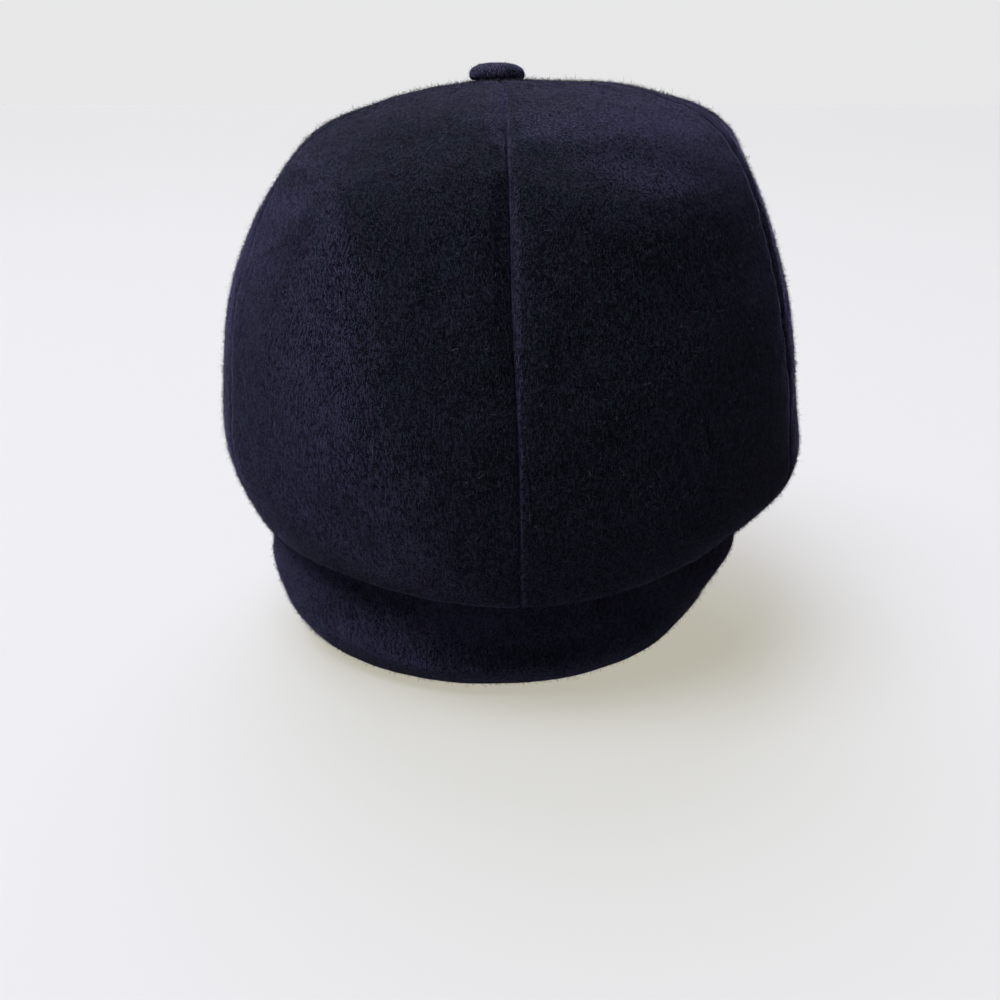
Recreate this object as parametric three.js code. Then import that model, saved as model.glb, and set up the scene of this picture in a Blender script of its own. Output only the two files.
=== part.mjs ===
import * as THREE from 'three';

// A brushed wool cap with a turned-down ear flap. Six crown panels meet under a covered button, bag
// out over a tilted head band and turn under to it. One flap hangs from the band from temple to
// temple, and a short peak stands out from the band in front.
//
// Millimetres. The origin is the top of the head that the cap is worn on, a little under the crown's
// highest point. Back is +Y, the wearer's left is +X and up is +Z. Azimuths are degrees from the back
// towards the wearer's left.

// Driving dimensions
const CROWN_WALL = 2.4;
const FLAP_WALL = 3;
const PEAK_WALL = 3.2;
const BAND_WALL = 2.4;
const PIECE_GAP = 0.3;

const HEAD_HALF_WIDTH = 81;
const HEAD_HALF_LENGTH = 99.5;
const BAND_ABOVE_JOIN = 15;
const BAND_BELOW_JOIN = 13.5;

const PANEL_COUNT = 6;
const SEAM_HALF_GAP = 0.2;
const SEAM_ROUND = 1.9;
const LIP_FILLET = 0.15;

const BUTTON_RADIUS = 11.4;
const BUTTON_EDGE = 1.2;
const BUTTON_HEIGHT = 4.8;
const BUTTON_STEM_RADIUS = 5;
const BUTTON_STEM_DEPTH = 3;

const PEAK_HALF_ANGLE = 46;
const PEAK_REACH = 46;
const PEAK_SLOPE = 0.46;
const PEAK_DROOP = 0.0025;
const PEAK_SPREAD = 0.7;
const PEAK_OUTLINE_POWER = 2.4;
const PEAK_OUTLINE_FULLNESS = 0.6;
const PEAK_BELOW_JOIN = 10.5;

// A ring's reach (mm from its centre) and height are given at the back, left, front and right. Centre
// is its sideways shift, square the exponent of its outline (2 is an ellipse), and lift its rise
// between those four places.
const RING_COLUMNS = [
  ...['back', 'left', 'front', 'right'],
  ...['zBack', 'zLeft', 'zFront', 'zRight'],
  ...['centre', 'square', 'lift'],
];

// The crown's rings, from the button down the outside, round the lower fold and back up to the band.
// Lip is the depth of the seam allowance that is turned inwards.
const CROWN_RINGS = table(
  [...RING_COLUMNS, 'lip'],
  {
    seat: [6, 6, 6, 6, 16.5, 16.5, 16.5, 16.5, 5.8, 2, 0, 2.6],
    top: [48, 43, 46, 53, 13, 8, 11, 12.5, 3.2, 2, 0, 4],
    brow: [82, 73.5, 78, 85, 3, -3.5, -1, 0.5, 2.7, 2.05, 0, 5],
    shoulder: [106, 87.5, 98, 93.5, -17, -20, -20, -17, 2.4, 2.4, 0, 5],
    side: [118, 110, 112, 109.5, -58, -58, -50, -58, 1, 2.2, 0, 5],
    widest: [123, 119.5, 118, 115.5, -104, -104, -78, -104, -1.4, 2.2, 0, 5],
    low: [120.5, 120, 118, 116.5, -141, -124.5, -97, -128, -2.2, 2.15, 0, 4],
    fold: [117, 106, 113.5, 104.5, -157, -160, -108, -142, -2.5, 1.9, 2.5, 2.6],
    under: [110.5, 99.5, 108, 98, -151, -154, -106.5, -138.5, -2, 1.9, 2.5, 2.6],
    tuck: [107, 89.5, 105, 88.5, -136, -123, -102, -122.5, -0.5, 2, 0, 2.6],
    join: [102.6, 84.2, 102.6, 84.2, -131, -118, -98, -118, 0, 2, 0, 2.6],
  },
);
const ROWS_TO_NEXT_RING = [3, 2, 2, 3, 2, 2, 3, 2, 2, 1];

// The flap's rings, from the band down to the hem. Half angle is how far it reaches round each way.
const FLAP_RINGS = table(
  [...RING_COLUMNS, 'halfAngle'],
  {
    seam: [105.3, 86.8, 105.3, 86.8, -136, -123, -103, -123, 0, 2, 0, 118],
    tuck: [105.3, 90.5, 105.3, 90.5, -145, -137, -111, -136, 0, 2, 0, 117.5],
    flare: [105, 96.5, 105.3, 97, -158, -153, -124, -149, 0, 2, 0, 116],
    ear: [99.5, 105, 105, 97.5, -181, -173, -141, -164, 0, 2.05, 0, 112],
    cheek: [98.5, 98.5, 103, 91, -193, -184, -151, -170.5, 2.2, 2.1, -1.2, 104],
    hem: [91.5, 89, 99, 89, -201, -192, -157, -176.5, 3.2, 2.2, -2.4, 88],
  },
);

// Soft folds and dents of the crown, each centred at an azimuth and a ring position. Turn is the angle
// of its length to the horizontal, length and width are its half sizes, and depth is how far it sinks.
const CROWN_DENTS = table(
  ['azimuth', 'position', 'turn', 'length', 'width', 'depth'],
  {
    backSeamValley: [0, 3.65, 90, 48, 5.5, 2],
    rightSeamSwell: [-4.5, 4.2, 80, 16, 5, -1],
    rightShoulderHollow: [-27, 2.75, -10, 30, 11, 2],
    rightShoulderRidge: [-13, 3.2, -28, 26, 7, -1.1],
    rightSideHollow: [-49, 3.6, 80, 20, 12, 1.8],
    rightLowHollow: [-46, 5.75, 20, 26, 13, 2],
    leftLowHollow: [31, 5.75, -20, 26, 12, 1.8],
    leftSideRidge: [57, 4.4, 90, 60, 6, -0.8],
    leftBrowHollow: [22, 2.5, 12, 24, 9, 1.2],
  },
);

const FELTED_WOOL = { color: 0x1b1c2b, roughness: 0.95, metalness: 0 };
const BAND_CLOTH = { color: 0x15161f, roughness: 0.8, metalness: 0 };

// Names each row and each column of a table of numbers.
function table(columns, rows) {
  return Object.entries(rows).map(([name, values]) => {
    const row = { name };
    columns.forEach((column, i) => {
      row[column] = values[i];
    });
    return row;
  });
}

function degrees(angle) {
  return (angle * Math.PI) / 180;
}

// One number of a table between its rings: whole positions are the rings themselves.
function between(rings, column, position) {
  const first = Math.min(Math.floor(position), rings.length - 2);
  return THREE.MathUtils.lerp(rings[first][column], rings[first + 1][column], position - first);
}

// A height that runs from its back or front value to its side value. It rises late towards the
// front, so the crown stays high over the peak.
function heightAt(ring, azimuth) {
  const towardsSide = Math.abs(Math.sin(azimuth));
  const zSide = Math.sin(azimuth) >= 0 ? ring.zLeft : ring.zRight;
  const share = Math.cos(azimuth) >= 0 ? towardsSide ** 2 : towardsSide ** 3;
  const zEnd = Math.cos(azimuth) >= 0 ? ring.zBack : ring.zFront;
  return THREE.MathUtils.lerp(zEnd, zSide, share) + ring.lift * Math.sin(2 * azimuth) ** 2;
}

function ringPoint(ring, azimuth) {
  const lengthwise = Math.abs(Math.cos(azimuth)) / (Math.cos(azimuth) >= 0 ? ring.back : ring.front);
  const sideways = Math.abs(Math.sin(azimuth)) / (Math.sin(azimuth) >= 0 ? ring.left : ring.right);
  const reach = (lengthwise ** ring.square + sideways ** ring.square) ** (-1 / ring.square);
  return new THREE.Vector3(
    ring.centre + reach * Math.sin(azimuth),
    reach * Math.cos(azimuth),
    heightAt(ring, azimuth),
  );
}

// A point of the smooth surface through a table's rings.
function smoothPoint(rings, azimuth, position) {
  const curve = new THREE.CatmullRomCurve3(rings.map((ring) => ringPoint(ring, azimuth)));
  return curve.getPoint(THREE.MathUtils.clamp(position / (rings.length - 1), 0, 1));
}

// A dent's middle, its direction along the cloth and the direction it sinks in.
function placedDent(dent) {
  const step = 0.01;
  const azimuth = degrees(dent.azimuth);
  const middle = smoothPoint(CROWN_RINGS, azimuth, dent.position);
  const across = smoothPoint(CROWN_RINGS, azimuth + step, dent.position).sub(middle).normalize();
  const down = smoothPoint(CROWN_RINGS, azimuth, dent.position + step).sub(middle).normalize();
  const inwards = new THREE.Vector3().crossVectors(down, across).normalize();
  const turn = degrees(dent.turn);
  const along = across.multiplyScalar(Math.cos(turn)).addScaledVector(down, Math.sin(turn));
  return { ...dent, middle, along, inwards };
}

const PLACED_DENTS = CROWN_DENTS.map(placedDent);

function crownPoint(azimuth, position) {
  const point = smoothPoint(CROWN_RINGS, azimuth, position);
  const smooth = point.clone();
  PLACED_DENTS.forEach(({ middle, along, inwards, length, width, depth }) => {
    const offset = smooth.clone().sub(middle);
    const lengthwise = offset.dot(along);
    const sideways = offset.lengthSq() - lengthwise ** 2;
    const share = Math.exp(-((lengthwise / length) ** 2) - sideways / width ** 2);
    point.addScaledVector(inwards, depth * share);
  });
  return point;
}

function flapPoint(azimuth, position) {
  return smoothPoint(FLAP_RINGS, azimuth, position);
}

// A surface's point with its outward normal and the mm that one radian of azimuth spans there.
function surfaceAt(pointAt, azimuth, position) {
  const step = 0.002;
  const across = pointAt(azimuth + step, position).sub(pointAt(azimuth - step, position));
  const down = pointAt(azimuth, position + step).sub(pointAt(azimuth, position - step));
  const normal = new THREE.Vector3().crossVectors(across, down).normalize();
  return { point: pointAt(azimuth, position), normal, perRadian: across.length() / (2 * step) };
}

// A closed solid swept through loops of equal length. In each loop the first half is one face of the
// cloth and the second half the other, backwards, so the two ends close with a strip across the wall.
function sweep(loops, closedRound) {
  const size = loops[0].length;
  const faces = [];
  const quad = (a, b, c, d) => {
    faces.push([a, b, c], [a, c, d]);
  };
  const spans = closedRound ? loops.length : loops.length - 1;
  for (let i = 0; i < spans; i += 1) {
    const here = i * size;
    const next = ((i + 1) % loops.length) * size;
    for (let k = 0; k < size; k += 1) {
      const after = (k + 1) % size;
      quad(here + k, here + after, next + after, next + k);
    }
  }
  if (!closedRound) {
    const end = (loops.length - 1) * size;
    for (let k = 0; k < size / 2 - 1; k += 1) {
      const opposite = size - 1 - k;
      quad(k, opposite, opposite - 1, k + 1);
      quad(end + k, end + k + 1, end + opposite - 1, end + opposite);
    }
  }
  return solid(loops.flat(), faces);
}

// A geometry whose faces point out, whichever way round its loops were given.
function solid(points, faces) {
  const volume = faces.reduce((sum, [a, b, c]) => {
    const cross = new THREE.Vector3().crossVectors(points[b], points[c]);
    return sum + points[a].dot(cross);
  }, 0);
  const turned = volume < 0 ? faces.map(([a, b, c]) => [a, c, b]) : faces;
  const geometry = new THREE.BufferGeometry();
  geometry.setFromPoints(points);
  geometry.setIndex(turned.flat());
  geometry.computeVertexNormals();
  return geometry;
}

function piece(name, geometry, finish) {
  const mesh = new THREE.Mesh(geometry, new THREE.MeshStandardMaterial(finish));
  mesh.name = name;
  return mesh;
}

// Positions down a table, with the given number of rows from each ring to the next.
function positions(rowsToNext) {
  const places = rowsToNext.flatMap((rows, ring) => Array.from({ length: rows }, (_, k) => ring + k / rows));
  return [...places, rowsToNext.length];
}

// Crown panels: a sixth of the crown each, rounded into the seams, with the seam allowance inside.
const PANEL_NAMES = [
  'crown_back_left',
  'crown_side_left',
  'crown_front_left',
  'crown_front_right',
  'crown_side_right',
  'crown_back_right',
];
const PANEL_INNER_COLUMNS = 6;

function panelLoop(firstSeam, lastSeam, position) {
  const lip = between(CROWN_RINGS, 'lip', position);
  const atSeam = (seam, inwards, distance, depth) => {
    const { perRadian } = surfaceAt(crownPoint, seam, position);
    const { point, normal } = surfaceAt(crownPoint, seam + (inwards * distance) / perRadian, position);
    return point.addScaledVector(normal, -depth);
  };
  // Each row is a distance from the seam and a depth below the outside of the cloth.
  const outside = [
    [SEAM_HALF_GAP, lip],
    [SEAM_HALF_GAP, SEAM_ROUND],
    [SEAM_HALF_GAP + SEAM_ROUND, 0],
  ];
  const inside = [
    [SEAM_HALF_GAP + CROWN_WALL, lip],
    [SEAM_HALF_GAP + CROWN_WALL, CROWN_WALL + LIP_FILLET],
    [SEAM_HALF_GAP + CROWN_WALL + SEAM_ROUND / 2, CROWN_WALL],
  ];
  const across = (edge, depth) => {
    const reachIn = edge[edge.length - 1][0];
    const start = firstSeam + reachIn / surfaceAt(crownPoint, firstSeam, position).perRadian;
    const finish = lastSeam - reachIn / surfaceAt(crownPoint, lastSeam, position).perRadian;
    const middle = [];
    for (let k = 1; k <= PANEL_INNER_COLUMNS; k += 1) {
      const azimuth = THREE.MathUtils.lerp(start, finish, k / (PANEL_INNER_COLUMNS + 1));
      const { point, normal } = surfaceAt(crownPoint, azimuth, position);
      middle.push(point.addScaledVector(normal, -depth));
    }
    return [
      ...edge.map(([distance, below]) => atSeam(firstSeam, 1, distance, below)),
      ...middle,
      ...edge.toReversed().map(([distance, below]) => atSeam(lastSeam, -1, distance, below)),
    ];
  };
  return [...across(outside, 0), ...across(inside, CROWN_WALL).reverse()];
}

function crownPanel(index) {
  const firstSeam = degrees((360 / PANEL_COUNT) * index);
  const lastSeam = degrees((360 / PANEL_COUNT) * (index + 1));
  const loops = positions(ROWS_TO_NEXT_RING).map((position) => panelLoop(firstSeam, lastSeam, position));
  return piece(PANEL_NAMES[index], sweep(loops, false), FELTED_WOOL);
}

// Covered button: a domed disc on the panels' meeting point, with a stem through the hole there.
const BUTTON_SIDES = 28;
const BUTTON_DOME_STEPS = 7;
const BUTTON_DOME_FULLNESS = 0.7;

function topButton() {
  const { zBack: seatHeight, centre } = CROWN_RINGS[0];
  const rim = seatHeight + PIECE_GAP;
  const outline = [
    [0, seatHeight - BUTTON_STEM_DEPTH],
    [BUTTON_STEM_RADIUS, seatHeight - BUTTON_STEM_DEPTH],
    [BUTTON_STEM_RADIUS, rim],
    [BUTTON_RADIUS - BUTTON_EDGE, rim],
  ];
  for (let k = 0; k < BUTTON_DOME_STEPS; k += 1) {
    const turn = degrees((90 * k) / BUTTON_DOME_STEPS);
    outline.push([
      BUTTON_RADIUS * Math.cos(turn) ** BUTTON_DOME_FULLNESS,
      rim + BUTTON_EDGE + (BUTTON_HEIGHT - BUTTON_EDGE) * Math.sin(turn),
    ]);
  }
  outline.push([0, rim + BUTTON_HEIGHT]);
  const profile = outline.map(([radius, height]) => new THREE.Vector2(radius, height));
  const geometry = new THREE.LatheGeometry(profile, BUTTON_SIDES);
  geometry.rotateX(Math.PI / 2);
  geometry.translate(centre, 0, 0);
  return piece('top_button', geometry, FELTED_WOOL);
}

// Head band: the hidden ring that carries every other piece, tilted up towards the forehead.
const BAND_SIDES = 64;

function joinHeight(azimuth) {
  return heightAt(CROWN_RINGS[CROWN_RINGS.length - 1], azimuth);
}

function bandPoint(azimuth, outwards, height) {
  const lengthwise = Math.cos(azimuth) / (HEAD_HALF_LENGTH + outwards);
  const sideways = Math.sin(azimuth) / (HEAD_HALF_WIDTH + outwards);
  const reach = 1 / Math.hypot(lengthwise, sideways);
  return new THREE.Vector3(reach * Math.sin(azimuth), reach * Math.cos(azimuth), height);
}

function headBand() {
  const loops = [];
  for (let k = 0; k < BAND_SIDES; k += 1) {
    const azimuth = degrees((360 * k) / BAND_SIDES);
    const upper = joinHeight(azimuth) + BAND_ABOVE_JOIN;
    const lower = joinHeight(azimuth) - BAND_BELOW_JOIN;
    loops.push([
      bandPoint(azimuth, 0, upper),
      bandPoint(azimuth, 0, lower),
      bandPoint(azimuth, BAND_WALL, lower),
      bandPoint(azimuth, BAND_WALL, upper),
    ]);
  }
  return piece('head_band', sweep(loops, true), BAND_CLOTH);
}

// Ear flap: one deep strip from temple to temple, with rounded front corners and a rounded hem.
const FLAP_COLUMNS = 42;
const FLAP_ROWS_TO_NEXT_RING = [2, 2, 2, 2, 2];

function earFlap() {
  const places = positions(FLAP_ROWS_TO_NEXT_RING);
  const loops = [];
  for (let k = 0; k <= FLAP_COLUMNS; k += 1) {
    const share = (2 * k) / FLAP_COLUMNS - 1;
    const face = (depth) =>
      places.map((position) => {
        const azimuth = degrees(share * between(FLAP_RINGS, 'halfAngle', position));
        const { point, normal } = surfaceAt(flapPoint, azimuth, position);
        return point.addScaledVector(normal, -depth);
      });
    loops.push([...face(0), ...face(FLAP_WALL).reverse()]);
  }
  return piece('ear_flap', sweep(loops, false), FELTED_WOOL);
}

// Peak: a short stiffened visor with an arched lower edge, standing out from the front of the band.
const PEAK_CORNER = 0.985;
const PEAK_COLUMNS = 26;
const PEAK_ROWS = 6;

function peakPoint(share, outwards, depth) {
  const azimuth = Math.PI + degrees(share * PEAK_HALF_ANGLE);
  const base = bandPoint(azimuth, BAND_WALL + PIECE_GAP, joinHeight(azimuth) - PEAK_BELOW_JOIN);
  const spread = new THREE.Vector3(Math.sin(azimuth) * PEAK_SPREAD, -1, 0).normalize();
  const fullness = (1 - Math.abs(share) ** PEAK_OUTLINE_POWER) ** PEAK_OUTLINE_FULLNESS;
  const length = outwards * PEAK_REACH * fullness;
  base.addScaledVector(spread, length);
  base.z -= PEAK_SLOPE * length + PEAK_DROOP * length ** 2 + depth;
  return base;
}

function peak() {
  const loops = [];
  for (let k = 0; k <= PEAK_COLUMNS; k += 1) {
    const share = PEAK_CORNER * ((2 * k) / PEAK_COLUMNS - 1);
    const face = (depth) =>
      Array.from({ length: PEAK_ROWS + 1 }, (_, row) => peakPoint(share, row / PEAK_ROWS, depth));
    loops.push([...face(0), ...face(PEAK_WALL).reverse()]);
  }
  return piece('peak', sweep(loops, false), FELTED_WOOL);
}

const cap = new THREE.Group();
cap.name = 'earflap_cap';
for (let index = 0; index < PANEL_COUNT; index += 1) {
  cap.add(crownPanel(index));
}
cap.add(topButton());
cap.add(headBand());
cap.add(earFlap());
cap.add(peak());

export default cap;
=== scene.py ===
import math
import bpy
import numpy as np
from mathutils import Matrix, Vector


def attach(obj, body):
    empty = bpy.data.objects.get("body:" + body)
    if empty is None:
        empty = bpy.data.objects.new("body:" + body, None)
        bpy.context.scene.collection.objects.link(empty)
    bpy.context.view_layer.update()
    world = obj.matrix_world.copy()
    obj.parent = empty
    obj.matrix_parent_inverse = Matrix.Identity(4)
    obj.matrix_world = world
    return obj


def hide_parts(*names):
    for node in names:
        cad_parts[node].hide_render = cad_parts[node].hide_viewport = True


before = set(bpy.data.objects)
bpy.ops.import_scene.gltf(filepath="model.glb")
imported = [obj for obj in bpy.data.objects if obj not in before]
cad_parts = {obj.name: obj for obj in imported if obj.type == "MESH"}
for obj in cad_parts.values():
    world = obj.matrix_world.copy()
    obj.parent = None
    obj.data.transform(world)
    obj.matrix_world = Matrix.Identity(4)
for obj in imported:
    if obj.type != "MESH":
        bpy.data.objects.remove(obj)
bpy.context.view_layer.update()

# Crown: six gores of felted navy wool, sewn edge to edge with the allowance turned in, then brushed
# up. It bags out over the head band, rolls under at its lower edge and comes back up to be sewn to
# the band. Lengths are in millimetres until a piece is made, and azimuths run from back to left.

# Reach back, left, front, right; height back, left, front, right; sideways shift; squareness; lift.
CROWN_RINGS = np.array([
    [6, 6, 6, 6, 15.4, 15.4, 15.4, 15.4, 5.8, 2, 0],                   # seat of the button
    [48, 43, 46, 53, 13, 8, 11, 12.5, 3.2, 2, 0],                      # top
    [82, 73.5, 78, 85, 3, -3.5, -1, 0.5, 2.7, 2.05, 0],                # brow
    [106, 87.5, 98, 93.5, -17, -20, -20, -17, 2.4, 2.4, 0],            # shoulder
    [118, 110, 112, 109.5, -58, -58, -50, -58, 1, 2.2, 0],             # side
    [123, 119.5, 118, 115.5, -104, -104, -78, -104, -1.4, 2.2, 0],     # widest
    [120.5, 120, 118, 116.5, -141, -124.5, -97, -128, -2.2, 2.15, 0],  # low
    [117, 106, 113.5, 104.5, -157, -160, -108, -142, -2.5, 1.9, 2.5],  # fold
    [110.5, 99.5, 108, 98, -151, -154, -106.5, -138.5, -2, 1.9, 2.5],  # under
    [107, 89.5, 105, 88.5, -136, -123, -102, -122.5, -0.5, 2, 0],      # tuck
    [102.6, 84.2, 102.6, 84.2, -131, -118, -98, -118, 0, 2, 0],        # join to the band
])
# Azimuth, ring position, turn from the horizontal, half length, half width, depth.
CROWN_DENTS = np.array([
    [0, 3.65, 90, 48, 5.5, 2],        # valley along the upper back seam
    [-4.5, 4.2, 80, 16, 5, -1],       # swell beside it
    [-27, 2.75, -10, 30, 11, 2],      # hollow over the right shoulder
    [-13, 3.2, -28, 26, 7, -1.1],     # ridge under that hollow
    [-49, 3.6, 80, 20, 12, 1.8],      # hollow down the right side
    [-46, 5.75, 20, 26, 13, 2],       # hollow above the right fold
    [31, 5.75, -20, 26, 12, 1.8],     # hollow above the left fold
    [57, 4.4, 90, 60, 6, -0.8],       # ridge along the left side seam
    [22, 2.5, 12, 24, 9, 1.2],        # hollow over the left shoulder
])


def ring_points(rings, azimuth):
    """Points of every ring: a squarish oval whose height runs from its ends to its sides."""
    c, s = np.cos(azimuth), np.sin(azimuth)
    back, left, front, right, z_back, z_left, z_front, z_right, centre, square, lift = [
        rings[:, k].reshape(-1, *[1] * np.ndim(azimuth)) for k in range(rings.shape[1])
    ]
    lengthwise = np.abs(c) / np.where(c >= 0, back, front)
    sideways = np.abs(s) / np.where(s >= 0, left, right)
    reach = (lengthwise**square + sideways**square) ** (-1 / square)
    share = np.where(c >= 0, np.abs(s) ** 2, np.abs(s) ** 3)
    z_end, z_side = np.where(c >= 0, z_back, z_front), np.where(s >= 0, z_left, z_right)
    height = z_end + (z_side - z_end) * share + lift * np.sin(2 * azimuth) ** 2
    return np.stack([centre + reach * s, reach * c, height], -1)


def drape(rings, azimuth, position):
    """Points of the smooth cloth through a table's rings; whole positions are the rings."""
    azimuth, position = np.broadcast_arrays(np.asarray(azimuth, float), position)
    points = ring_points(rings, azimuth)
    above, below = 2 * points[0] - points[1], 2 * points[-1] - points[-2]
    points = np.concatenate([[above], points, [below]])
    ring = np.clip(np.floor(position), 0, len(rings) - 2).astype(int)
    share = (position - ring)[..., None]
    p0, p1, p2, p3 = (
        np.take_along_axis(points, (ring + k)[None, ..., None], 0)[0] for k in range(4)
    )

    def span(a, b):
        return np.maximum(np.sum((a - b) ** 2, -1, keepdims=True) ** 0.25, 1e-4)

    # The slopes at p1 and p2 allow for rings that stand unevenly far apart.
    d0, d1, d2 = span(p0, p1), span(p1, p2), span(p2, p3)
    t1 = ((p1 - p0) / d0 - (p2 - p0) / (d0 + d1) + (p2 - p1) / d1) * d1
    t2 = ((p2 - p1) / d1 - (p3 - p1) / (d1 + d2) + (p3 - p2) / d2) * d1
    return (
        p1 + t1 * share
        + (-3 * p1 + 3 * p2 - 2 * t1 - t2) * share**2
        + (2 * p1 - 2 * p2 + t1 + t2) * share**3
    )


def unit(v):
    return v / np.maximum(np.linalg.norm(v, axis=-1, keepdims=True), 1e-9)


def crown_smooth(azimuth, position):
    """The crown's outside with its dents, before its finer swells."""
    points = drape(CROWN_RINGS, azimuth, position)
    sunk = np.zeros_like(points)
    step = 0.01
    for place, ring, turn, length, width, depth in CROWN_DENTS:
        a, turn = math.radians(place), math.radians(turn)
        middle = drape(CROWN_RINGS, a, ring)
        across = unit(drape(CROWN_RINGS, a + step, ring) - middle)
        down = unit(drape(CROWN_RINGS, a, ring + step) - middle)
        along = across * math.cos(turn) + down * math.sin(turn)
        offset = points - middle
        lengthwise = offset @ along
        sideways = np.sum(offset**2, -1) - lengthwise**2
        share = np.exp(-((lengthwise / length) ** 2) - sideways / width**2)
        sunk += unit(np.cross(down, across)) * (depth * share)[..., None]
    return points + sunk


NUDGE = 0.002


def with_normals(surface, azimuth, position):
    """The surface's points, outward normals and millimetres per radian of azimuth."""
    across = surface(azimuth + NUDGE, position) - surface(azimuth - NUDGE, position)
    down = surface(azimuth, position + NUDGE) - surface(azimuth, position - NUDGE)
    per_radian = np.linalg.norm(across, axis=-1) / (2 * NUDGE)
    return surface(azimuth, position), unit(np.cross(across, down)), per_radian


def unevenness(points, seed, wave):
    """A soft seeded swell over space, from -1 to 1, with the given usual wave in millimetres."""
    rng = np.random.default_rng(seed)
    total = np.zeros(points.shape[:-1])
    waves = 9
    for _ in range(waves):
        direction = unit(rng.normal(size=3)) * 2 * math.pi / (wave * rng.uniform(0.7, 1.5))
        total += np.sin(points @ direction + rng.uniform(0, 6.28))
    return total / waves**0.5 / 1.5


def swelling(points, swells):
    """The sum of several swells, given as depth, seed and usual wave."""
    return sum(depth * unevenness(points, seed, wave) for depth, seed, wave in swells)


FINE_STEPS = 900


def rows_by_length(surface, azimuth, last, rows):
    """Ring positions, from 0 to the last, that lie at even steps along the cloth."""
    fine = np.linspace(0, last, FINE_STEPS)
    line = surface(np.full(FINE_STEPS, azimuth), fine)
    along = np.concatenate([[0], np.cumsum(np.linalg.norm(np.diff(line, axis=0), axis=-1))])
    return np.interp(np.linspace(0, along[-1], rows), along, fine)


def new_piece(name, points, faces, material):
    """A smooth mesh from points in millimetres, riding on the cap's one body."""
    mesh = bpy.data.meshes.new(name)
    mesh.from_pydata((np.asarray(points).reshape(-1, 3) / 1000).tolist(), [], faces)
    mesh.polygons.foreach_set("use_smooth", [True] * len(mesh.polygons))
    mesh.materials.append(material)
    piece = bpy.data.objects.new(name, mesh)
    bpy.context.scene.collection.objects.link(piece)
    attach(piece, "root")
    return piece


def swept_faces(loops, size, closed_round=False):
    """Quads round and between equal loops, with the two end loops closed by strips."""
    faces = []
    for i in range(loops if closed_round else loops - 1):
        here, there = i * size, (i + 1) % loops * size
        for k in range(size):
            after = (k + 1) % size
            faces.append((here + k, there + k, there + after, here + after))
    if not closed_round:
        end = (loops - 1) * size
        for k in range(size // 2 - 1):
            other = size - 1 - k
            faces.append((k, k + 1, other - 1, other))
            faces.append((end + k, end + other, end + other - 1, end + k + 1))
    return faces


def fill(made, inputs):
    """Sets each named input of a node to a plain value, or links another node's output to it."""
    for name, value in inputs.items():
        if isinstance(value, bpy.types.NodeSocket):
            made.id_data.links.new(value, made.inputs[name])
        else:
            made.inputs[name].default_value = value


def node(tree, kind, place, inputs=None, **settings):
    """A new node with its own settings, standing at its place in the node editor."""
    made = tree.nodes.new(kind)
    made.location = place
    for name, value in settings.items():
        setattr(made, name, value)
    fill(made, inputs or {})
    return made


def mixed(tree, share, first, second, place, blend="MIX"):
    """A colour between two others; 6, 7 and 2 are the colour sockets of a Mix node."""
    inputs = {"Factor": share, 6: first, 7: second}
    made = node(tree, "ShaderNodeMix", place, inputs, data_type="RGBA", blend_type=blend)
    return made.outputs[2]


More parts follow.
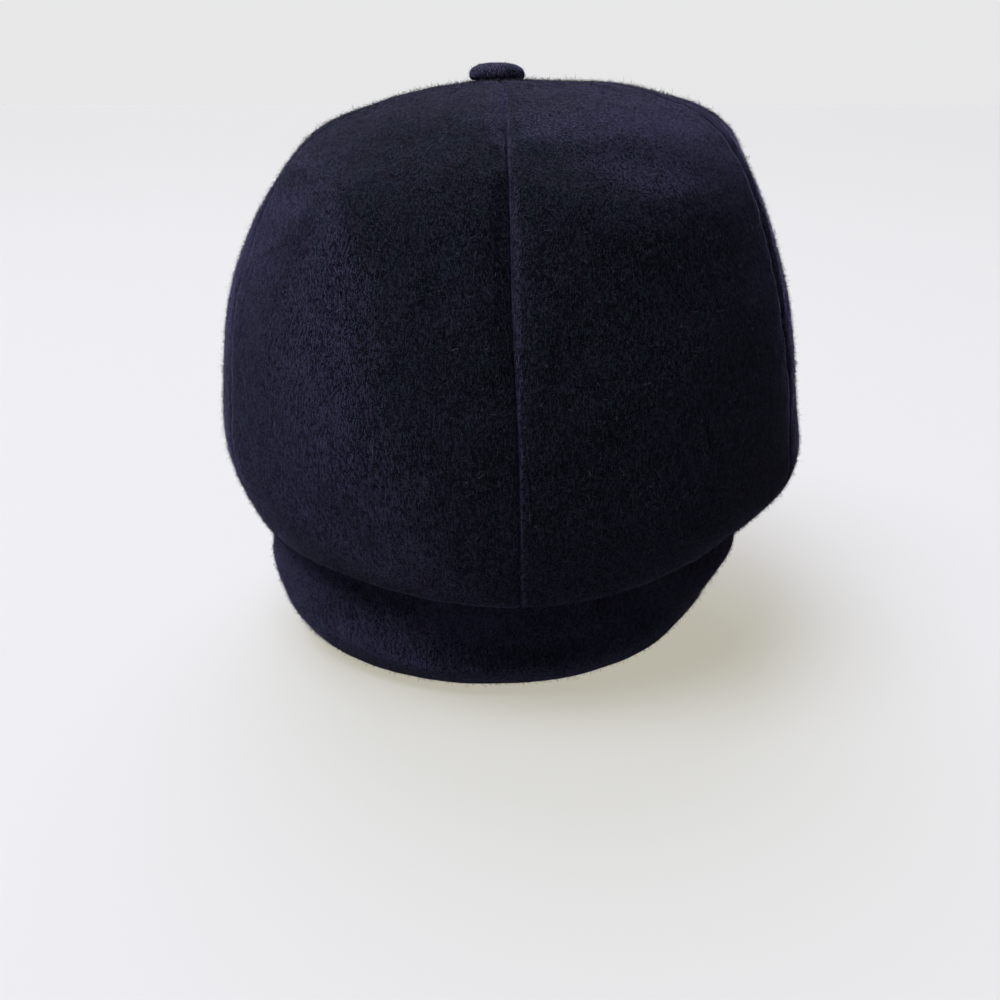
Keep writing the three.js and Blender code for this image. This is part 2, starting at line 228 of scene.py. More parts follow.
def heather_group():
    """Felted wool close up: dark and paler fibres, lying every way, in soft patches."""
    group = bpy.data.node_groups.new("felted heather", "ShaderNodeTree")
    for name, kind, value in (
        ("Dark Fibre", "NodeSocketColor", (0.008, 0.008, 0.016, 1)),
        ("Pale Fibre", "NodeSocketColor", (0.05, 0.05, 0.085, 1)),
        ("Violet Cast", "NodeSocketColor", (1.2, 0.86, 1.15, 1)),
        ("Green Cast", "NodeSocketColor", (0.78, 1.1, 1.0, 1)),
        ("Streaks", "NodeSocketFloat", 0.5),
        ("Patches", "NodeSocketFloat", 0.3),
    ):
        socket = group.interface.new_socket(name, in_out="INPUT", socket_type=kind)
        socket.default_value = value
    for name, kind in (
        ("Color", "NodeSocketColor"),
        ("Height", "NodeSocketFloat"),
        ("Roughness", "NodeSocketFloat"),
    ):
        group.interface.new_socket(name, in_out="OUTPUT", socket_type=kind)
    given = node(group, "NodeGroupInput", (-1500, 0)).outputs
    cloth = node(group, "ShaderNodeTexCoord", (-1500, -400)).outputs["Object"]

    def maths(kind, a, b, place, clamp=False):
        settings = {"operation": kind, "use_clamp": clamp}
        return node(group, "ShaderNodeMath", place, {0: a, 1: b}, **settings).outputs[0]

    def noise(scale, detail, rough, place):
        inputs = {"Vector": cloth, "Scale": scale, "Detail": detail, "Roughness": rough}
        return node(group, "ShaderNodeTexNoise", place, inputs).outputs["Fac"]

    def stretched(value, low, high, place):
        """The value, with low and high drawn out to 0 and 1."""
        inputs = {"Value": value, "From Min": low, "From Max": high}
        return node(group, "ShaderNodeMapRange", place, inputs).outputs["Result"]

    def specks(scale, place, turn, stretch):
        """Two random flat values for each small cell of fibre."""
        x, y = place
        lay = {"Vector": cloth, "Rotation": turn, "Scale": stretch}
        laid = node(group, "ShaderNodeMapping", (x - 200, y), lay).outputs["Vector"]
        cells = node(group, "ShaderNodeTexVoronoi", place, {"Vector": laid, "Scale": scale})
        colour = {"Color": cells.outputs["Color"]}
        parts = node(group, "ShaderNodeSeparateColor", (x + 180, y), colour)
        return parts.outputs["Red"], parts.outputs["Green"]

    # Cells and waves to the metre, and how much each layer adds to the paleness or the height.
    melange_cells, fibre_cells, patch_waves, drift_waves, lump_waves = 3200, 3000, 75, 170, 420
    melange_share, pale_everywhere, drift_share, hue_share = 0.8, 0.13, 0.55, 0.45
    melange_height, streak_height = 0.6, 0.8
    # Turn and stretch of three lays of longer fibres.
    lays = (
        ((0.4, 0.2, 0.9), (1, 1, 0.22)),
        ((1.2, 0.7, 0.1), (1, 1, 0.22)),
        ((0.2, 1.4, 2.2), (1, 0.22, 1)),
    )

    melange, hue = specks(melange_cells, (-1100, 300), (0.3, 0.5, 0.7), (1, 1, 1))
    fibres = []
    for k, (turn, stretch) in enumerate(lays):
        cells, _ = specks(fibre_cells, (-1100, -80 * k), turn, stretch)
        fibres.append(stretched(cells, 0.84, 1, (-900, -80 * k)))
    streaks = maths("MAXIMUM", fibres[0], fibres[1], (-700, -50))
    streaks = maths("MAXIMUM", streaks, fibres[2], (-550, -50))
    streaks = maths("MULTIPLY", streaks, given["Streaks"], (-400, -50))
    patches = stretched(noise(patch_waves, 3, 0.6, (-1100, -400)), 0.3, 0.7, (-900, -400))
    patches = maths("SUBTRACT", patches, 0.5, (-700, -400))
    patches = maths("MULTIPLY", patches, given["Patches"], (-550, -400))
    pale = maths("POWER", melange, 5, (-600, 250))
    pale = maths("MULTIPLY", pale, melange_share, (-400, 200))
    pale = maths("ADD", pale, streaks, (-250, 100))
    pale = maths("ADD", pale, pale_everywhere, (-150, 200))
    pale = maths("ADD", pale, patches, (-50, 100), clamp=True)
    grey = mixed(group, pale, given["Dark Fibre"], given["Pale Fibre"], (100, 200))

    drift = stretched(noise(drift_waves, 2, 0.6, (-1100, -600)), 0.35, 0.65, (-900, -600))
    drift = maths("MULTIPLY", drift, drift_share, (-400, -600))
    hue = maths("MULTIPLY", hue, hue_share, (-400, -700))
    drift = maths("ADD", drift, hue, (-250, -600))
    cast = mixed(group, drift, given["Violet Cast"], given["Green Cast"], (100, -100))

    pile = maths("MULTIPLY", melange, melange_height, (300, -250))
    standing = maths("MULTIPLY", streaks, streak_height, (300, -350))
    pile = maths("ADD", pile, standing, (450, -300))
    lumps = noise(lump_waves, 2, 0.5, (-1100, -800))
    node(group, "NodeGroupOutput", (900, 0), {
        "Color": mixed(group, 1, grey, cast, (400, 100), "MULTIPLY"),
        "Height": maths("ADD", pile, lumps, (650, -300)),
        "Roughness": stretched(melange, -3, 1, (650, -500)),
    })
    return group


HEATHER = heather_group()


def new_material(name):
    material = bpy.data.materials.new(name)
    material.use_nodes = True
    return material, material.node_tree, material.node_tree.nodes["Principled BSDF"]


def wool(name, dark, pale, bump=0.7, sheen=0.8):
    """Brushed felted wool between the colours of its darkest and its palest fibres."""
    material, tree, shader = new_material(name)
    heather = node(tree, "ShaderNodeGroup", (-500, 200), {
        "Dark Fibre": (*dark, 1),
        "Pale Fibre": (*pale, 1),
        "Streaks": 1.2,
        "Patches": 0.16,
    }, node_tree=HEATHER)
    raised = node(tree, "ShaderNodeBump", (-250, -200), {
        "Height": heather.outputs["Height"],
        "Strength": bump,
        "Distance": 0.0005,
    })
    fill(shader, {
        "Base Color": heather.outputs["Color"],
        "Roughness": heather.outputs["Roughness"],
        "Normal": raised.outputs["Normal"],
        "Specular IOR Level": 0.03,
        "Sheen Weight": sheen,
        "Sheen Roughness": 0.15,
        "Sheen Tint": (0.5, 0.43, 1.0, 1),
    })
    return material


NAVY_DARK, NAVY_PALE = (0.0008, 0.0012, 0.002), (0.029, 0.034, 0.052)
CROWN_WOOL = wool("brushed navy wool", NAVY_DARK, NAVY_PALE)


def fibre_material(name, dark, pale, tint):
    """Loose fibres, each a little darker or paler than its neighbour."""
    material, tree, shader = new_material(name)
    shade = node(tree, "ShaderNodeAttribute", (-600, 200), attribute_name="shade")
    fill(shader, {
        "Base Color": mixed(tree, shade.outputs["Fac"], (*dark, 1), (*pale, 1), (-300, 200)),
        "Roughness": 0.7,
        "Specular IOR Level": 0.06,
        "Sheen Weight": 0.1,
        "Sheen Roughness": 0.4,
        "Sheen Tint": (*tint, 1),
    })
    return material


NAVY_FIBRE = fibre_material(
    "brushed-up navy fibre", (0.002, 0.0025, 0.004), (0.25, 0.255, 0.35), (0.5, 0.43, 1.0)
)
NAP_PER_MM2, NAP_LENGTH, NAP_WIDTH = 1.8, 1.7, 0.1
# Steepest rise off the cloth as a part of half a turn, pull downwards, and depth of the roots.
NAP_RISE, NAP_DOWN, NAP_ROOT = 0.45, 0.2, 0.1


def give_shades(piece, shades):
    """Keeps each point's place between the dark and the pale colour of a fibre material."""
    layer = piece.data.attributes.new("shade", "FLOAT", "POINT")
    layer.data.foreach_set("value", shades)


def brushed_nap(name, points, normals, seed, per_mm2=NAP_PER_MM2, length=NAP_LENGTH):
    """Loose fibres drawn out of the cloth: each is a bent sliver, pointed at both ends."""
    rng = np.random.default_rng(seed)

    def corners(grid):
        return grid[:-1, :-1], grid[:-1, 1:], grid[1:, 1:], grid[1:, :-1]

    a, b, _, d = corners(points)
    areas = np.linalg.norm(np.cross(b - a, d - a), axis=-1).ravel()
    count = int(areas.sum() * per_mm2)
    quad = rng.choice(len(areas), count, p=areas / areas.sum())
    u, v = rng.random((2, count, 1))

    def at_roots(grid):
        p, q, r, s = (corner.reshape(-1, 3)[quad] for corner in corners(grid))
        return (p * (1 - u) + q * u) * (1 - v) + (s * (1 - u) + r * u) * v

    root, up = at_roots(points), unit(at_roots(normals))
    aside = unit(np.cross(up, rng.normal(size=(count, 3))))
    aside = unit(aside + np.array([0, 0, -NAP_DOWN]))
    # Most fibres lie low and are about as long as each other; a few stand up or are much longer.
    lean = rng.beta(1.3, 2.6, (count, 1)) * NAP_RISE * math.pi
    first = unit(aside * np.cos(lean) + up * np.sin(lean))
    long = length * np.clip(rng.lognormal(-0.1, 0.4, (count, 1)), 0.3, 2.2)
    bend = unit(np.cross(first, rng.normal(size=(count, 3))))
    second = unit(first + (bend * rng.uniform(0.2, 0.9, (count, 1)) - up * 0.25))
    side = unit(np.cross(first, rng.normal(size=(count, 3))))
    side = side * NAP_WIDTH * rng.uniform(0.6, 1.3, (count, 1)) / 2
    root = root - up * NAP_ROOT
    knee = root + first * long * 0.5
    tip = knee + second * long * 0.5
    slivers = np.stack([root, knee - side, knee + side, tip], 1)
    base = (np.arange(count) * 4)[:, None]
    faces = (base + [0, 1, 2]).tolist() + (base + [1, 3, 2]).tolist()
    piece = new_piece(name, slivers, faces, NAVY_FIBRE)
    # Most fibres are dark, and a few are pale.
    give_shades(piece, np.repeat(rng.beta(0.6, 5.0, count), 4))
    return piece


GORES = ["back_left", "side_left", "front_left", "front_right", "side_right", "back_right"]
GORE_DEGREES = 60
# Columns and rows of each gore's mesh; every gore is cut equally wide.
GORE_COLUMNS, GORE_ROWS = 46, 136
CLOTH = 2.4
CROWN_NAP_SEED = 40
# Distance from the seam, depth under the outside and sideways lean of the pressed allowance, from
# its raw edge up to the face of the cloth; first outside, then inside.
SEAM_ROLL = [
    (0.03, 3.7, 0.9), (0.03, 2.3, 0.5), (0.1, 1.5, 0.1), (0.45, 0.8, 0),
    (1.05, 0.4, 0), (1.9, 0.14, 0), (3, 0, 0),
]
SEAM_INSIDE = [
    (2.6, 3.7, 0), (2.6, 3.1, 0), (2.6, 2.8, 0), (2.7, 2.6, 0),
    (3, 2.5, 0), (3.4, 2.42, 0), (3.8, CLOTH, 0),
]
# Depth, seed and usual wave of the swells in the felted cloth.
CROWN_SWELLS = ((0.5, 11, 36), (0.16, 12, 11))
# Height, distance leftwards and width of the ridge and the valley along a seam that is drawn in.
SEAM_VALLEY = ((0.6, -5, 3), (-1.2, 1.3, 2.4))
PUCKER_HEIGHT, PUCKER_WIDTH, PUCKER_PITCH, PUCKER_DRIFT = 0.15, 7, 1.55, 9
CROWN_MIDDLE = np.array([0, 0, -70])


def bump_over(x, middle, width):
    """A soft bump of height 1."""
    return np.exp(-(((x - middle) / width) ** 2))


def crown_face(azimuth, position):
    """The crown's outside with its finer swells, and the puckers that the seams draw up."""
    points = crown_smooth(azimuth, position)
    outwards = unit(points - CROWN_MIDDLE)
    gore = math.radians(GORE_DEGREES)
    seam = np.round(azimuth / gore) * gore
    leftwards = (azimuth - seam) * np.hypot(points[..., 0], points[..., 1])
    height = points[..., 2]
    pucker = np.sin(height / PUCKER_PITCH + 2.1 * np.sin(height / PUCKER_DRIFT + seam))
    pucker = pucker * bump_over(leftwards, 0, PUCKER_WIDTH)
    # The back seam is drawn in most, and every seam is drawn in most over the shoulder.
    drawn = np.where(np.cos(seam) > 0.9, 1.0, 0.3) * bump_over(position, 3.3, 1.3)
    valley = sum(high * bump_over(leftwards, place, wide) for high, place, wide in SEAM_VALLEY)
    swell = swelling(points, CROWN_SWELLS)
    return points + outwards * (swell + PUCKER_HEIGHT * pucker + drawn * valley)[..., None]


def gore_side(first, last, positions, edge, depth):
    """Points and normals of a gore's outside or inside, with its allowance at both seams."""
    _, first_out, first_span = with_normals(crown_face, np.full(GORE_ROWS, first), positions)
    _, last_out, last_span = with_normals(crown_face, np.full(GORE_ROWS, last), positions)
    # The seams are drawn in widest over the shoulder, and lie almost flat lower down.
    ease = 0.6 + 1.2 * bump_over(positions, 2.9, 1.25)
    face_starts = edge[-1][0]
    start, end = first + face_starts * ease / first_span, last - face_starts * ease / last_span
    between = np.linspace(0, 1, GORE_COLUMNS + 2)[1:-1]
    columns = [first + (away * ease + lean) / first_span for away, _, lean in edge]
    columns += [start + (end - start) * share for share in between]
    columns += [last - (away * ease - lean) / last_span for away, _, lean in reversed(edge)]
    depths = [below for _, below, _ in edge]
    depths = np.array(depths + [depth] * GORE_COLUMNS + depths[::-1])
    azimuth = np.stack(columns, 1)
    rows = np.broadcast_to(positions[:, None], azimuth.shape)
    points, normals, _ = with_normals(crown_face, azimuth, rows)
    turned = normals.copy()
    turned[:, : len(edge) - 1] = first_out[:, None]
    turned[:, 1 - len(edge) :] = last_out[:, None]
    return points - turned * depths[None, :, None], normals


for number, name in enumerate(GORES):
    first, last = (math.radians(GORE_DEGREES * seam) for seam in (number, number + 1))
    positions = rows_by_length(crown_smooth, (first + last) / 2, len(CROWN_RINGS) - 1, GORE_ROWS)
    outside, normals = gore_side(first, last, positions, SEAM_ROLL, 0.0)
    inside, _ = gore_side(first, last, positions, SEAM_INSIDE, CLOTH)
    loops = np.concatenate([outside, inside[:, ::-1]], 1)
    gore_faces = swept_faces(GORE_ROWS, loops.shape[1])
    gore = new_piece(f"gore_{name}", loops, gore_faces, CROWN_WOOL)
    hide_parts(f"crown_{name}")
    # The nap leaves out the button's seat and the join to the band.
    nap = brushed_nap(f"nap_{name}", outside[2:-4], normals[2:-4], CROWN_NAP_SEED + number)

# Top button: a domed metal shell covered in the same wool, painted paler, which is gathered in
# under it.
# It is sewn down on its shank where the six gores meet.
BUTTON_SEAT, BUTTON_SHIFT = 15.5, 5.8
BUTTON_RADIUS, BUTTON_HEIGHT, BUTTON_SHANK, BUTTON_STEM = 10.9, 6.0, 3.0, 4.8
BUTTON_ROLL, BUTTON_ROLL_HEIGHT, BUTTON_DOME_FOOT = 1.3, 1.15, 1.6
# Reach and height, from the foot of the shank over the rolled rim to the top of the dome.
button_profile = np.array([
    (BUTTON_STEM, -BUTTON_SHANK), (BUTTON_STEM, -0.4), (7.0, -0.2), (9.2, -0.15),
    *[
        (
            BUTTON_RADIUS - BUTTON_ROLL + BUTTON_ROLL * math.sin(t),
            BUTTON_ROLL_HEIGHT - BUTTON_ROLL * math.cos(t),
        )
        for t in np.linspace(0.35, 1.57, 7)
    ],
    *[
        (
            BUTTON_RADIUS * math.cos(t) ** 0.62,
            BUTTON_DOME_FOOT + (BUTTON_HEIGHT - BUTTON_DOME_FOOT) * math.sin(t),
        )
        for t in np.linspace(0.06, 1.5, 24)
    ],
])
button_turns = np.radians(np.arange(0, 360, 3.0))
reach, height = button_profile[:, :1], button_profile[:, 1:]
wobble = 1 + 0.012 * np.sin(button_turns * 2 + 0.6) + 0.008 * np.sin(button_turns * 5 + 2)
gathered = (reach > 5) & (height < 0)
pleats = 0.22 * np.sin(button_turns * 14 + 0.7 * np.sin(button_turns * 3)) * gathered
tilt = 0.1 * np.sin(button_turns * 2 + reach * 0.3) * np.minimum(1, reach / 8)
button_rounds = np.stack([
    BUTTON_SHIFT + reach * wobble * np.sin(button_turns),
    reach * wobble * np.cos(button_turns),
    BUTTON_SEAT + height + pleats + tilt,
], -1)
button_points = np.concatenate([
    button_rounds.reshape(-1, 3),
    [
        [BUTTON_SHIFT, 0, BUTTON_SEAT - BUTTON_SHANK],
        [BUTTON_SHIFT, 0, BUTTON_SEAT + BUTTON_HEIGHT],
    ],
])
rounds, sides = button_rounds.shape[:2]
top_round, under_point, top_point = (rounds - 1) * sides, rounds * sides, rounds * sides + 1
button_faces = []
for i in range(rounds - 1):
    here, there = i * sides, (i + 1) * sides
    for k in range(sides):
        after = (k + 1) % sides
        button_faces.append((here + k, here + after, there + after, there + k))
for k in range(sides):
    after = (k + 1) % sides
    button_faces.append((after, k, under_point))
    button_faces.append((top_round + k, top_round + after, top_point))
# The button's wool is a paler copy of the crown's. It is a painted highlight for the light that its
# dome catches from overhead and in its fuzz.
BUTTON_WOOL_PAINTED_PALE = wool("button wool painted paler", (0.0025, 0.0025, 0.005), (0.085, 0.083, 0.145), bump=0.45)
button = new_piece("covered_button", button_points, button_faces, BUTTON_WOOL_PAINTED_PALE)
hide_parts("top_button")
# The nap covers the rolled rim and the dome; the grid is turned so that its faces look outwards.
shown = np.concatenate([button_rounds[8:], button_rounds[8:, :1]], 1)[:, ::-1]
outwards = unit(shown - np.array([BUTTON_SHIFT, 0, BUTTON_SEAT - 6]))
button_nap = brushed_nap("nap_button", shown, outwards, 51, per_mm2=2.6, length=0.9)

# Head band: a ribbon of plain woven band cloth round the head.
# It is sewn inside the join of crown, ear flap and peak, and holds the cap on the head.
BAND_HALF_WIDTH, BAND_HALF_LENGTH, BAND_WALL = 81, 99.5, 2.4
BAND_UP, BAND_DOWN = 15, 13.5
BAND_CLOTH, tree, shader = new_material("band cloth")
place = node(tree, "ShaderNodeTexCoord", (-1100, 0)).outputs["Object"]
ribs = node(
    tree, "ShaderNodeTexWave", (-700, 100), {"Vector": place, "Scale": 300, "Distortion": 0.6},
    bands_direction="Z",
).outputs["Fac"]
threads = node(tree, "ShaderNodeTexNoise", (-700, -250), {"Vector": place, "Scale": 1800})
woven = node(
    tree, "ShaderNodeMath", (-500, 0), {0: ribs, 1: threads.outputs["Fac"]}, operation="ADD"
).outputs[0]
weave = {"Height": woven, "Strength": 0.5, "Distance": 0.0003}
band_dark, band_pale = (0.008, 0.008, 0.014, 1), (0.022, 0.022, 0.034, 1)
fill(shader, {
    "Base Color": mixed(tree, woven, band_dark, band_pale, (-300, 150)),
    "Normal": node(tree, "ShaderNodeBump", (-250, -250), weave).outputs["Normal"],
    "Roughness": 0.75,
    "Specular IOR Level": 0.3,
    "Sheen Weight": 0.2,
})


def join_height(azimuth):
    return ring_points(CROWN_RINGS[-1:], azimuth)[0, ..., 2]


def band_points(azimuth, outwards, height):
    """Points on the band's oval, some way outwards from its inside."""
    lengthwise = np.cos(azimuth) / (BAND_HALF_LENGTH + outwards)
    sideways = np.sin(azimuth) / (BAND_HALF_WIDTH + outwards)
    reach = 1 / np.hypot(lengthwise, sideways)
    return np.stack([reach * np.sin(azimuth), reach * np.cos(azimuth), height + 0 * azimuth], -1)


# Depth into the wall and share of the half height, from the top edge to the bottom one.
band_section = [
    (0.5, 1), (0.2, 0.99), (0, 0.96),
    *[(0, share) for share in np.linspace(0.9, -0.9, 12)],
    (0, -0.96), (0.2, -0.99), (0.5, -1),
]
band_section += [(BAND_WALL - depth, share) for depth, share in reversed(band_section)]
band_turns = np.radians(np.arange(0, 360, 1.5))
band_middle = join_height(band_turns) + (BAND_UP - BAND_DOWN) / 2
band_rows = []
for depth, share in band_section:
    wave = 0.12 * np.sin(band_turns * 17 + share * 2)
    height = band_middle + (BAND_UP + BAND_DOWN) / 2 * share
    band_rows.append(band_points(band_turns, depth + wave + 0.12, height))
band_loops = np.stack(band_rows, 1)
band_faces = swept_faces(len(band_turns), len(band_section), closed_round=True)
band = new_piece("head_band_cloth", band_loops, band_faces, BAND_CLOTH)
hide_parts("head_band")

# Ear flap: one deep strip of the same wool, painted a little paler, doubled, with its edge turned
# and pressed round.
# It is sewn to the band from temple to temple, flares over the ears and draws in again below them.
FLAP_RINGS = np.array([
    [105.3, 86.8, 105.3, 86.8, -136, -123, -103, -123, 0, 2, 0],
    [105.3, 90.5, 105.3, 90.5, -145, -137, -111, -136, 0, 2, 0],
    [105, 96.5, 105.3, 97, -158, -153, -124, -149, 0, 2, 0],
    [99.5, 105, 105, 97.5, -181, -173, -141, -164, 0, 2.05, 0],
    [98.5, 99.5, 103, 92.5, -193, -184, -151, -170.5, 2.2, 2.1, -1.2],
    [91.5, 91.5, 99, 90.5, -201, -192.5, -157, -176.5, 3.2, 2.2, -2.4],
])
FLAP_HALF_ANGLES = np.radians([118, 117.5, 116, 112, 104, 88])
FLAP_WALL, FLAP_DEPTH, FLAP_LENGTH = 3.0, 72, 390
FLAP_SWELLS = ((0.8, 21, 38), (0.16, 22, 12))
# The hem lies just past the last ring.
FLAP_HEM = 5.07
# Distances from a slab's border, in millimetres, that make its turned edge round.
EDGE_STEPS = np.array([0, 0.06, 0.2, 0.45, 0.8, 1.15, 1.5])


def close_to_ends(count, length):
    """Shares from 0 to 1 that crowd towards both ends, so that the turned edge is round."""
    near = EDGE_STEPS / length
    between = np.linspace(near[-1], 1 - near[-1], count)[1:-1]
    return np.concatenate([near, between, 1 - near[::-1]])


def slab(name, middle, normals, border, half_wall, material):
    """A closed cloth slab round its middle sheet, rounded off towards its border."""
    inwards = np.clip(border / half_wall, 0, 1)
    swell = half_wall * np.sqrt(np.clip(1 - (1 - inwards) ** 2, 0, 1))[..., None]
    rows, columns = middle.shape[:2]
    outside, inside = middle + normals * swell, middle - normals * swell
    grid = np.arange(rows * columns).reshape(rows, columns)
    back = grid + rows * columns
    back[0], back[-1], back[:, 0], back[:, -1] = grid[0], grid[-1], grid[:, 0], grid[:, -1]
    faces = np.concatenate([
        np.stack([grid[:-1, :-1], grid[1:, :-1], grid[1:, 1:], grid[:-1, 1:]], -1).reshape(-1, 4),
        np.stack([back[:-1, :-1], back[:-1, 1:], back[1:, 1:], back[1:, :-1]], -1).reshape(-1, 4),
    ])
    # The inside's own border points are left out, since both faces share the outside's.
    used = np.unique(faces)
    number = np.zeros(2 * rows * columns, int)
    number[used] = np.arange(len(used))
    points = np.concatenate([outside.reshape(-1, 3), inside.reshape(-1, 3)])[used]
    return new_piece(name, points, number[faces].tolist(), material), outside


def flap_face(azimuth, position):
    """The flap's outside, which swells more and more below its seam."""
    points = drape(FLAP_RINGS, azimuth, position)
    outwards = unit(points * np.array([1, 1, 0]))
    free = np.clip(position / 2.5, 0, 1)
    return points + outwards * (swelling(points, FLAP_SWELLS) * free)[..., None]


flap_down = close_to_ends(50, FLAP_DEPTH)
flap_round = close_to_ends(210, FLAP_LENGTH)
even_rows = rows_by_length(flap_face, 0.4, FLAP_HEM, FINE_STEPS)
flap_positions = np.interp(flap_down, np.linspace(0, 1, FINE_STEPS), even_rows)
half_angles = np.interp(flap_positions, np.arange(len(FLAP_RINGS)), FLAP_HALF_ANGLES)
flap_azimuths = (2 * flap_round[None, :] - 1) * half_angles[:, None]
flap_where = np.broadcast_to(flap_positions[:, None], flap_azimuths.shape)
flap_points, flap_normals, _ = with_normals(flap_face, flap_azimuths, flap_where)
border = np.minimum(
    np.minimum(flap_down, 1 - flap_down)[:, None] * FLAP_DEPTH,
    np.minimum(flap_round, 1 - flap_round)[None, :] * FLAP_LENGTH,
)
# The flap's wool is a paler copy of the crown's. It is a painted highlight for the sheen and the
# light off the table that its flared sides catch.
FLAP_WOOL_PAINTED_PALE = wool("flap wool painted paler", NAVY_DARK, (0.036, 0.041, 0.068), sheen=1.0)
flap_middle = flap_points - flap_normals * FLAP_WALL / 2
flap, flap_outside = slab(
    "flap_cloth", flap_middle, flap_normals, border, FLAP_WALL / 2, FLAP_WOOL_PAINTED_PALE
)
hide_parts("ear_flap")
flap_nap = brushed_nap("nap_flap", flap_outside, flap_normals, 61)

# Peak: a short stiff board covered in the same wool.
# It is sewn to the front of the band and slopes down from it.
PEAK_HALF_ANGLE, PEAK_REACH, PEAK_WALL = math.radians(46), 46, 3.2
PEAK_SLOPE, PEAK_DROOP, PEAK_SPREAD = 0.46, 0.0025, 0.7
# The share of the half angle that the board fills, and the half width of that in millimetres.
PEAK_CORNER, PEAK_HALF_WIDTH = 0.985, 75
PEAK_BELOW_JOIN, PEAK_OFF_BAND = 10.5, 0.3
PEAK_SWELLS = ((0.25, 31, 40),)


def peak_face(share, outwards):
    """The board's top, from -1 to 1 across it and from 0 to 1 outwards."""
    azimuth = math.pi + share * PEAK_HALF_ANGLE
    seam_height = join_height(azimuth) - PEAK_BELOW_JOIN
    base = band_points(azimuth, BAND_WALL + PEAK_OFF_BAND, seam_height)
    spread = unit(np.stack([np.sin(azimuth) * PEAK_SPREAD, -1 + 0 * azimuth, 0 * azimuth], -1))
    length = outwards * PEAK_REACH * (1 - np.abs(share) ** 2.4) ** 0.6
    points = base + spread * length[..., None]
    points[..., 2] -= PEAK_SLOPE * length + PEAK_DROOP * length**2
    points[..., 2] += swelling(points, PEAK_SWELLS) * outwards
    return points


peak_across = close_to_ends(90, 2 * PEAK_HALF_WIDTH) * 2 * PEAK_CORNER - PEAK_CORNER
peak_out = close_to_ends(36, PEAK_REACH)
share, outwards = np.meshgrid(peak_across, peak_out)
peak_points = peak_face(share, outwards)
peak_normals = unit(np.cross(
    peak_face(share, outwards + NUDGE) - peak_points,
    peak_face(share + NUDGE, outwards) - peak_points,
))
peak_normals *= np.sign(peak_normals[..., 2:])
rim = peak_face(peak_across[None], np.ones((1, len(peak_across))))
seam = peak_face(peak_across[None], np.zeros((1, len(peak_across))))
border = np.minimum(
    np.minimum(peak_out, 1 - peak_out)[:, None] * np.linalg.norm(rim - seam, axis=-1),
    PEAK_HALF_WIDTH * (PEAK_CORNER - np.abs(share)) / PEAK_CORNER,
)
PEAK_WOOL = wool("peak wool", NAVY_DARK, NAVY_PALE)
peak_middle = peak_points - np.array([0, 0, PEAK_WALL / 2])
# The cover is drawn a little tighter than the wall is thick.
peak, peak_outside = slab(
    "peak_cover", peak_middle, peak_normals, border, PEAK_WALL / 2 * 0.93, PEAK_WOOL
)
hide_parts("peak")
peak_nap = brushed_nap("nap_peak", peak_outside, peak_normals, 71)

# Lint: a few paler hairs that lie on the nap, as any brushed dark wool collects.
# Each is one fine curled hair.
LINT_HAIRS, HAIR_PARTS, HAIR_HALF_WIDTH, HAIR_ABOVE_CLOTH = 70, 6, 0.028, 0.35
LINT = fibre_material("pale lint", (0.2, 0.2, 0.23), (0.5, 0.5, 0.52), (0.8, 0.8, 0.85))
rng = np.random.default_rng(7)
lint_points, lint_faces = [], []
for _ in range(LINT_HAIRS):
    azimuth, position = rng.uniform(-1.2, 1.5), rng.uniform(1.2, 6.6)
    point, normal, _ = with_normals(crown_face, np.array([azimuth]), np.array([position]))
    up, along = normal[0], unit(np.cross(normal[0], rng.normal(size=3)))
    length, curl = rng.uniform(0.8, 2.6), rng.uniform(-0.14, 0.14)
    hair = [point[0] + up * HAIR_ABOVE_CLOTH]
    for k in range(HAIR_PARTS):
        along = unit(along + np.cross(up, along) * curl)
        hair.append(hair[-1] + along * length / HAIR_PARTS + up * 0.08 * math.sin(k))
    side = np.cross(along, up) * HAIR_HALF_WIDTH
    start = len(lint_points)
    for spot in hair:
        lint_points += [spot - side, spot + side]
    for k in range(start, start + 2 * HAIR_PARTS, 2):
        lint_faces.append((k, k + 1, k + 3, k + 2))
lint = new_piece("lint", np.array(lint_points), lint_faces, LINT)
give_shades(lint, rng.random(len(lint_points)))

# Table, light and camera: a plain pale table under the hem whose faint glow is painted light that
# softens the shadows on it, and soft daylight from a window at the upper left, with weaker light
# from overhead, from the far side and up off the table. The camera looks at the cap's back from
# twenty degrees above.
FLOOR_HEIGHT, FLOOR_RADIUS = -205.5, 60000
# The table's warm glow is painted light. It lifts the shadows cast on the table and tints them
# yellowish, and the bluish base colour keeps the lit table white.
TABLE_WITH_PAINTED_GLOW, tree, shader = new_material("pale table with painted glow")
fill(shader, {
    "Base Color": (0.265, 0.284, 0.35, 1),
    "Emission Color": (0.48, 0.46, 0.38, 1),
    "Emission Strength": 1,
    "Roughness": 0.8,
    "Specular IOR Level": 0.1,
})
# Seen from underneath, the table is clear, so that the inside of the cap can be looked at.
under = node(tree, "ShaderNodeNewGeometry", (-200, 400)).outputs["Backfacing"]
clear = node(tree, "ShaderNodeBsdfTransparent", (0, 200)).outputs["BSDF"]
either = node(
    tree, "ShaderNodeMixShader", (300, 300), {"Fac": under, 1: shader.outputs["BSDF"], 2: clear}
)
fill(tree.nodes["Material Output"], {"Surface": either.outputs["Shader"]})
floor_turns = np.radians(np.arange(0, 360, 5))
floor_rim = np.stack([
    np.cos(floor_turns) * FLOOR_RADIUS,
    np.sin(floor_turns) * FLOOR_RADIUS,
    0 * floor_turns + FLOOR_HEIGHT,
], -1)
floor = new_piece("table", floor_rim, [list(range(len(floor_turns)))], TABLE_WITH_PAINTED_GLOW)
floor.visible_diffuse = False
floor.visible_shadow = False
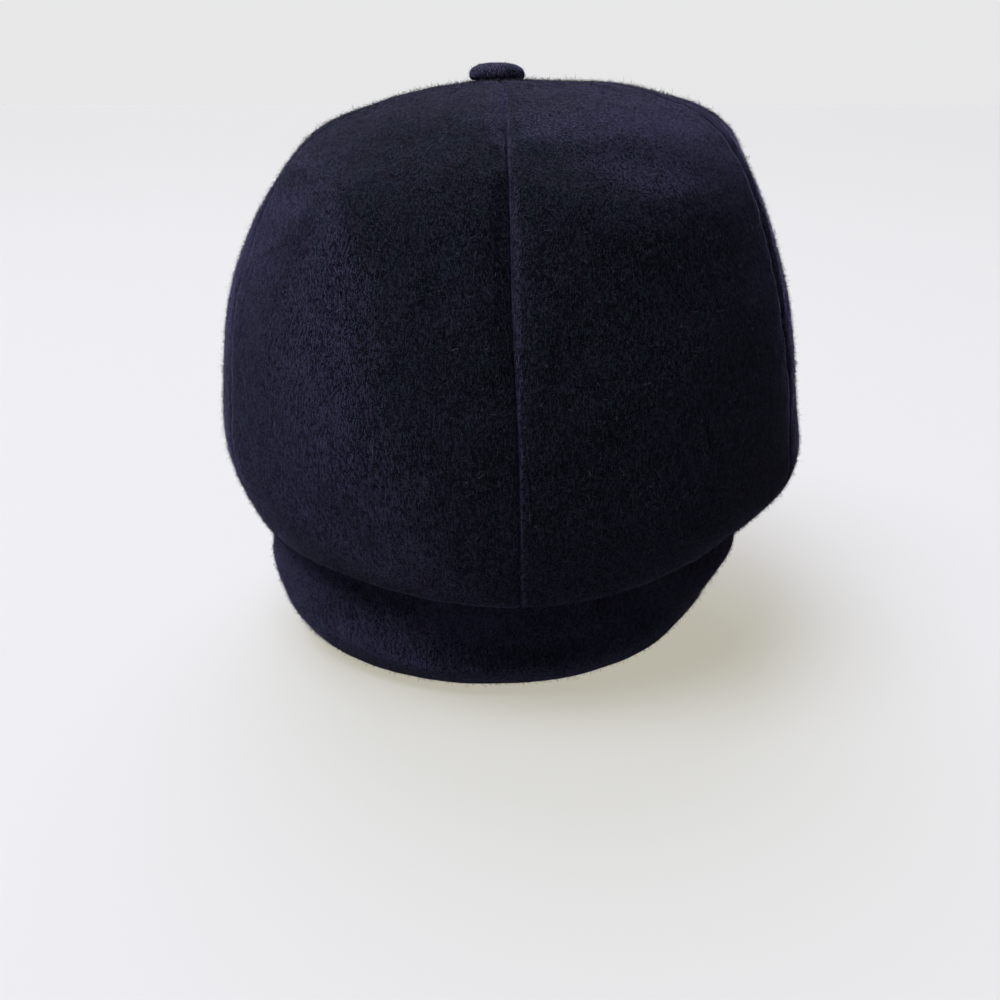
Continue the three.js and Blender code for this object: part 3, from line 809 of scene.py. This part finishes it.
# How far off a lamp stands, in metres.
LAMP_AWAY = 3.06


def daylight(name, kind, towards, strength, spread, colour):
    """A sun, or a soft lamp as bright and as wide as that sun, in the given direction."""
    lamp = bpy.data.lights.new(name, kind)
    lamp.color = colour
    held = bpy.data.objects.new(name, lamp)
    bpy.context.scene.collection.objects.link(held)
    if kind == "SUN":
        lamp.energy, lamp.angle = strength, math.radians(spread)
    else:
        lamp.energy = strength * math.pi * LAMP_AWAY**2
        lamp.size = 2 * LAMP_AWAY * math.tan(math.radians(spread / 2))
        held.location = Vector(towards).normalized() * LAMP_AWAY
        held.visible_camera = False
    held.rotation_euler = Vector(towards).to_track_quat("Z", "Y").to_euler()


daylight("window", "SUN", (0.3, 0.26, 0.92), 1.4, 40, (1.0, 0.99, 0.97))
daylight("near_window", "AREA", (0.38, 0.22, 0.9), 1.2, 34, (1.0, 0.99, 0.97))
daylight("overhead", "SUN", (0.4, 0.1, 1.0), 0.6, 60, (0.97, 0.98, 1.0))
daylight("far_side", "SUN", (0.25, -1.0, 1.3), 2.3, 50, (0.9, 0.86, 1.0))
daylight("off_the_table", "SUN", (0.5, 0.12, -0.85), 1.0, 90, (0.95, 0.94, 1.0))
room = bpy.data.worlds.new("room")
bpy.context.scene.world = room
room.use_nodes = True
tree = room.node_tree
# The walls are bright to look at, and light the cap only faintly.
seen = node(tree, "ShaderNodeLightPath", (-600, 200)).outputs["Is Camera Ray"]
levels = {"Value": seen, "To Min": 0.04, "To Max": 0.81}
level = node(tree, "ShaderNodeMapRange", (-300, 200), levels).outputs["Result"]
fill(tree.nodes["Background"], {"Strength": level, "Color": (0.99, 0.99, 1.0, 1)})
bpy.context.scene.view_settings.view_transform = "Standard"

camera = bpy.data.objects.new("camera", bpy.data.cameras.new("camera"))
bpy.context.scene.collection.objects.link(camera)
camera.data.sensor_width, camera.data.lens = 36, 39.6
camera.location = (0.0046, 0.461, 0.008)
camera.rotation_euler = (math.radians(70), 0, math.radians(180))
bpy.context.scene.camera = camera
